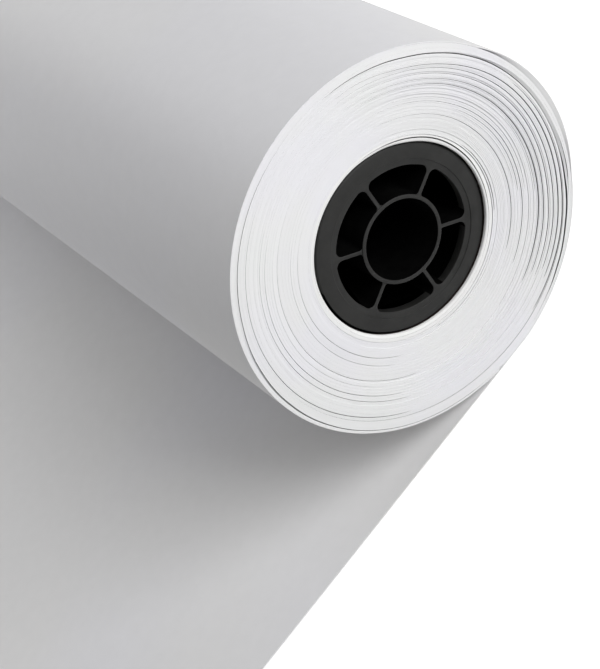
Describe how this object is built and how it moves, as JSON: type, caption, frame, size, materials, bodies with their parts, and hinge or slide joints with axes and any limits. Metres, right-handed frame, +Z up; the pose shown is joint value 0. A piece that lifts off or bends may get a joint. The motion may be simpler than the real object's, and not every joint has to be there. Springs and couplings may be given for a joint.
{
  "type": "kraft paper roll",
  "caption": "Roll of white kraft paper on a thin core with a moulded plug in each end, lying on its own unrolled tail.",
  "frame": {"origin": "on the surface that the roll lies on, under the middle of the roll's axis", "axes": "+X along the roll towards the end with the recessed turns, +Z up, and the loose tail lies flat towards -Y"},
  "size_m": [0.4599, 0.2724, 0.1022],
  "materials": {
    "paper": "matte",
    "core": "matte",
    "plug": "matte"
  },
  "bodies": {
    "root": {"paper_web": "paper", "core_tube": "core", "end_plug_near": "plug", "end_plug_far": "plug"}
  },
  "joints": []
}
